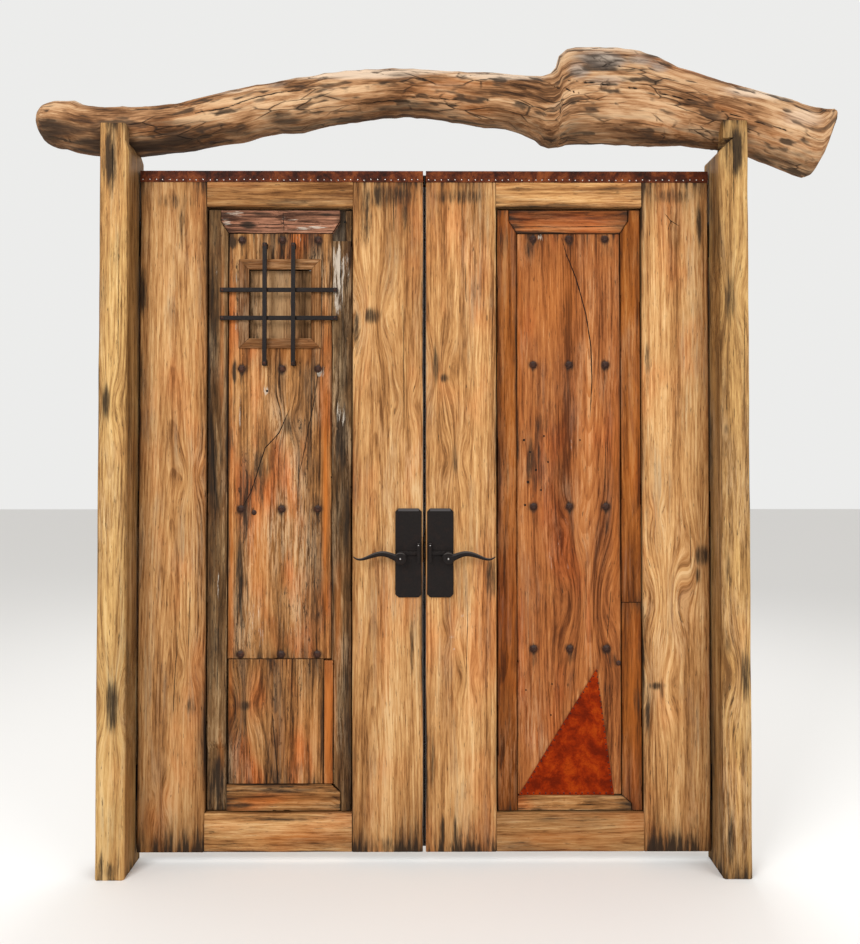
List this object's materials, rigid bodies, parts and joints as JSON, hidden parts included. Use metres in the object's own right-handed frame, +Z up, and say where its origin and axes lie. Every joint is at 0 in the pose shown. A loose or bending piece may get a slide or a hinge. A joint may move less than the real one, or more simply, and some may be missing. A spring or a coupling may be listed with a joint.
{
  "type": "rustic plank gate",
  "caption": "Double-leaf rustic timber gate on two posts under a natural log, with iron lever handles, a grilled window and old door panels in its leaves.",
  "frame": {"origin": "on the ground, under the meeting line of the two leaves, in the plane of their front faces", "axes": "+X to the viewer's right, +Y from the front to the back, +Z up"},
  "size_m": [2.5323, 0.2263, 2.614],
  "materials": {
    "log_wood": "barked natural log, cracked and weathered",
    "post_wood": "sawn timber, stained and weathered",
    "frame_wood": "honey stained timber with grey weathering",
    "old_grey_wood": "old dry board, cracked, traces of paint",
    "old_red_wood": "old red-brown stained board, worn",
    "backing_wood": "dark plain board",
    "cap_sheet": "dark red-brown hide nailed over the edge",
    "hammered_patch": "burnt orange hide, mottled",
    "black_iron": "blackened wrought iron"
  },
  "bodies": {
    "root": {"left_post": "post_wood", "right_post": "post_wood", "header_log": "log_wood", "lag_screws": "black_iron", "lag_washers": "black_iron", "left_hinge_post_plates": "black_iron", "right_hinge_post_plates": "black_iron", "left_hinge_pins": "black_iron", "right_hinge_pins": "black_iron"},
    "left_leaf": {"left_back_plate": "black_iron", "left_backing_board": "backing_wood", "left_bottom_rail": "frame_wood", "left_cap": "cap_sheet", "left_clavos": "black_iron", "left_front_plate": "black_iron", "left_hinge_leaf_plates": "black_iron", "left_hinge_stile": "frame_wood", "left_lock_stile": "frame_wood", "left_old_bottom_rail": "old_grey_wood", "left_old_left_stile": "old_grey_wood", "left_old_right_stile": "old_grey_wood", "left_old_top_rail": "old_grey_wood", "left_panel_board": "old_grey_wood", "left_patch_board": "old_grey_wood", "left_patch_strip": "old_grey_wood", "left_top_rail": "frame_wood", "window_moulding": "old_grey_wood", "window_grille": "black_iron", "strike_plate": "black_iron", "shutter_fixed_hinges": "black_iron"},
    "right_leaf": {"right_back_plate": "black_iron", "right_backing_board": "backing_wood", "right_bottom_rail": "frame_wood", "right_cap": "cap_sheet", "right_clavos": "black_iron", "right_front_plate": "black_iron", "right_hinge_leaf_plates": "black_iron", "right_hinge_stile": "frame_wood", "right_lock_stile": "frame_wood", "right_old_bottom_rail": "old_red_wood", "right_old_left_stile": "old_red_wood", "right_old_lower_stile": "old_red_wood", "right_old_top_rail": "old_red_wood", "right_old_upper_stile": "old_red_wood", "right_panel_board": "old_red_wood", "right_patch": "hammered_patch", "right_top_rail": "frame_wood", "latch_case": "black_iron"},
    "left_lever": {"left_front_lever": "black_iron", "left_back_lever": "black_iron", "left_spindle": "black_iron"},
    "right_lever": {"right_front_lever": "black_iron", "right_back_lever": "black_iron", "right_spindle": "black_iron", "latch_follower": "black_iron"},
    "latch_bolt": {"latch_bolt": "black_iron"},
    "window_shutter": {"window_shutter": "backing_wood", "shutter_moving_hinges": "black_iron", "shutter_pull": "backing_wood"}
  },
  "joints": [
    {"name": "left_leaf_swing", "type": "hinge", "parent": "root", "child": "left_leaf", "pos_m": [-0.912, 0.053, 1.12], "axis": [0, 0, 1], "range_deg": [0, 100]},
    {"name": "right_leaf_swing", "type": "hinge", "parent": "root", "child": "right_leaf", "pos_m": [0.912, 0.053, 1.12], "axis": [0, 0, -1], "range_deg": [0, 100]},
    {"name": "left_lever_turn", "type": "hinge", "parent": "left_leaf", "child": "left_lever", "pos_m": [-0.0755, 0.0225, 0.968], "axis": [0, -1, 0], "range_deg": [0, 20], "stiffness_Nm_per_rad": 1.5, "springref_deg": -28.65},
    {"name": "right_lever_turn", "type": "hinge", "parent": "right_leaf", "child": "right_lever", "pos_m": [0.0755, 0.0225, 0.968], "axis": [0, 1, 0], "range_deg": [0, 20], "stiffness_Nm_per_rad": 1.5, "springref_deg": -28.65},
    {"name": "latch_bolt_slide", "type": "slide", "parent": "right_leaf", "child": "latch_bolt", "axis": [1, 0, 0], "range_m": [0, 0.008]},
    {"name": "window_shutter_swing", "type": "hinge", "parent": "left_leaf", "child": "window_shutter", "pos_m": [-0.363, 0.0488, 1.86], "axis": [0, 0, -1], "range_deg": [0, 110]}
  ],
  "couplings": [
    {"joint": "latch_bolt_slide", "follows": "right_lever_turn", "m_per_rad": 0.022918}
  ]
}
